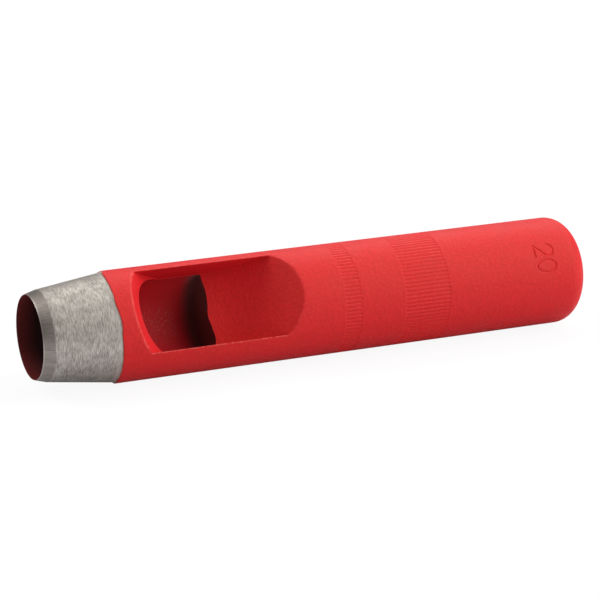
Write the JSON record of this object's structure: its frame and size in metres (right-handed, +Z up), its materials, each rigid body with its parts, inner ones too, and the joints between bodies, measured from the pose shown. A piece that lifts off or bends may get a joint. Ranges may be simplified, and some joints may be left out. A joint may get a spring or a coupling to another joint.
{
  "type": "hollow punch",
  "caption": "Hand-held hollow punch: tapered ring-edged steel cutting head on a round red shank with an open ejection window, knurled grip bands and a rounded striking end.",
  "frame": {"origin": "on the surface that the punch lies on, under the middle of its length", "axes": "+X along the punch from the cutting edge to the striking end, +Z up, the ejection window facing -Y and up"},
  "size_m": [0.1436, 0.027, 0.0269],
  "materials": {
    "ground_steel": "ground and unpolished, with fine scratches round the taper",
    "red_lacquer": "satin red lacquer with a slight orange peel"
  },
  "bodies": {
    "root": {"cutting_head": "ground_steel", "shank": "red_lacquer"}
  },
  "joints": []
}
